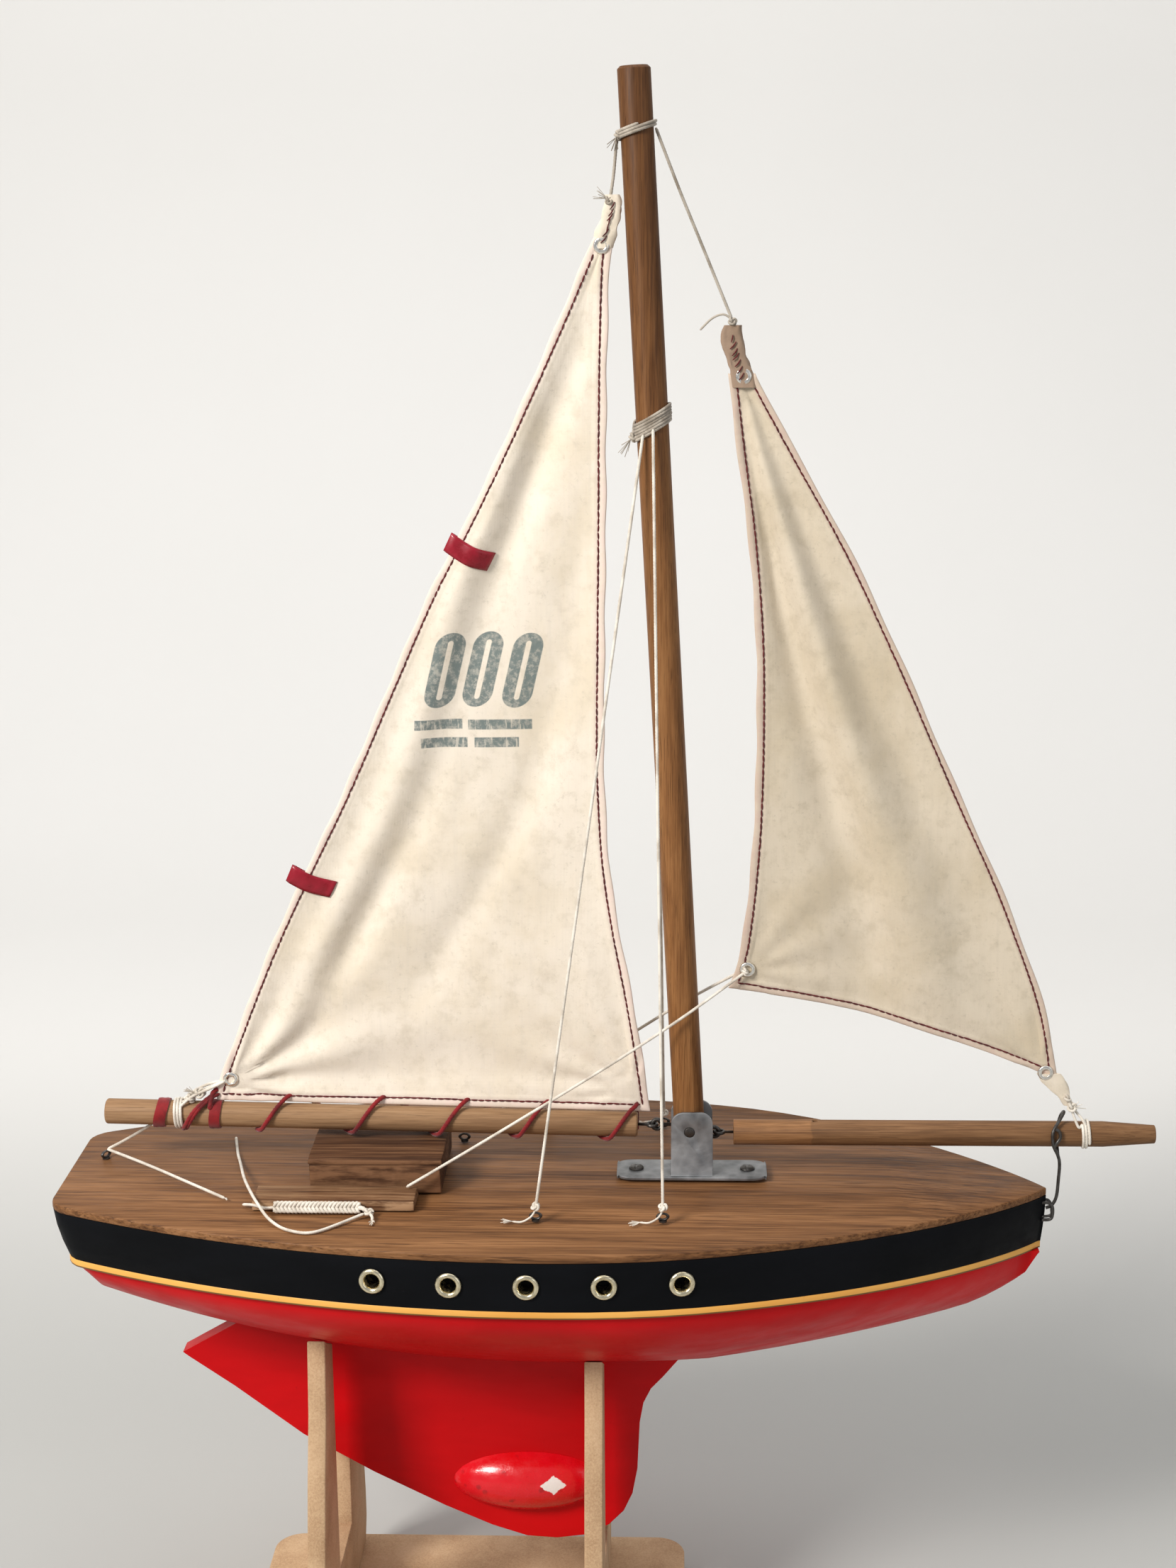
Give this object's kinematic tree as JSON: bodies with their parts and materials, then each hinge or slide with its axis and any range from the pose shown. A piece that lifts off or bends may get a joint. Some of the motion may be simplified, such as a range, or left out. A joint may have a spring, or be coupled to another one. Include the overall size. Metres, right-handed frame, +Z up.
{
  "type": "toy sailing boat",
  "caption": "Wooden toy sailing boat with keel fin, mainsail and jib, raked mast, boom and bowsprit, resting in a cradle stand.",
  "frame": {"origin": "on the table, under the middle of the hull's length, on the boat's centre plane", "axes": "+X towards the bow, +Y to port, +Z up"},
  "size_m": [0.4206, 0.1582, 0.6162],
  "materials": {
    "board": "matt",
    "deck_wood": "varnished",
    "cabin_wood": "varnished",
    "black_paint": "satin paint",
    "yellow_paint": "gloss paint",
    "red_paint": "gloss paint",
    "ballast": "gloss paint",
    "brass": "polished",
    "spar_wood": "varnished",
    "pale_spar_wood": "varnished",
    "zinc_sheet": "dull",
    "dark_steel": "tarnished",
    "white_cord": "twisted",
    "red_cord": "gloss",
    "sailcloth": "woven cotton",
    "nickel": "polished",
    "red_tape": "gloss"
  },
  "bodies": {
    "stand": {"stand_base": "board", "stand_cradle_aft": "board", "stand_cradle_fore": "board"},
    "hull": {"deck_board": "deck_wood", "upper_hull": "black_paint", "stripe": "yellow_paint", "lower_hull": "red_paint", "keel_fin": "red_paint", "ballast_weights": "ballast", "portholes_starboard": "brass", "portholes_port": "brass", "cabin_block": "cabin_wood", "cabin_roof": "cabin_wood", "side_bench": "deck_wood", "braided_band": "white_cord", "loose_line": "white_cord", "mast_shoe": "zinc_sheet", "shoe_screws": "dark_steel", "mast_pin": "dark_steel", "mast": "spar_wood", "masthead_band": "white_cord", "shroud_band": "white_cord", "mast_hook": "dark_steel", "sprit_hook": "dark_steel", "bowsprit": "spar_wood", "sprit_eye": "dark_steel", "stem_staple": "dark_steel", "stem_wire": "dark_steel", "shroud_eyes": "dark_steel", "sheet_eyes": "dark_steel", "shroud_starboard_fore": "white_cord", "shroud_starboard_aft": "white_cord", "shroud_port_fore": "white_cord", "shroud_port_aft": "white_cord", "main_halyard": "white_cord", "jib_halyard": "white_cord", "mainsheet": "white_cord", "sheet_tail": "white_cord", "jib_sheet_starboard": "white_cord", "jib_sheet_port": "white_cord", "tack_lashing": "white_cord"},
    "boom_and_mainsail": {"boom": "pale_spar_wood", "boom_eye": "dark_steel", "foot_lacing": "red_cord", "clew_lashing": "white_cord", "outhaul_bands": "red_cord", "mainsail": "sailcloth", "main_eyelets": "nickel", "leech_tabs": "red_tape"},
    "jib": {"jib": "sailcloth", "jib_eyelets": "nickel"}
  },
  "joints": [
    {"name": "boat_lift", "type": "slide", "parent": "stand", "child": "hull", "axis": [0, 0, 1], "range_m": [0, 0.12]},
    {"name": "boom_swing", "type": "hinge", "parent": "hull", "child": "boom_and_mainsail", "pos_m": [0.03771, 0, 0.2235], "axis": [-0.0506, 0, 0.9987], "range_deg": [-30, 30], "deforming": ["mainsheet", "main_halyard", "jib_sheet_starboard", "jib_sheet_port"]},
    {"name": "jib_swing", "type": "hinge", "parent": "hull", "child": "jib", "pos_m": [0.194, 0, 0.247], "axis": [-0.4135, 0, 0.9105], "range_deg": [-15, 15], "deforming": ["jib_halyard", "jib_sheet_starboard", "jib_sheet_port"]}
  ]
}
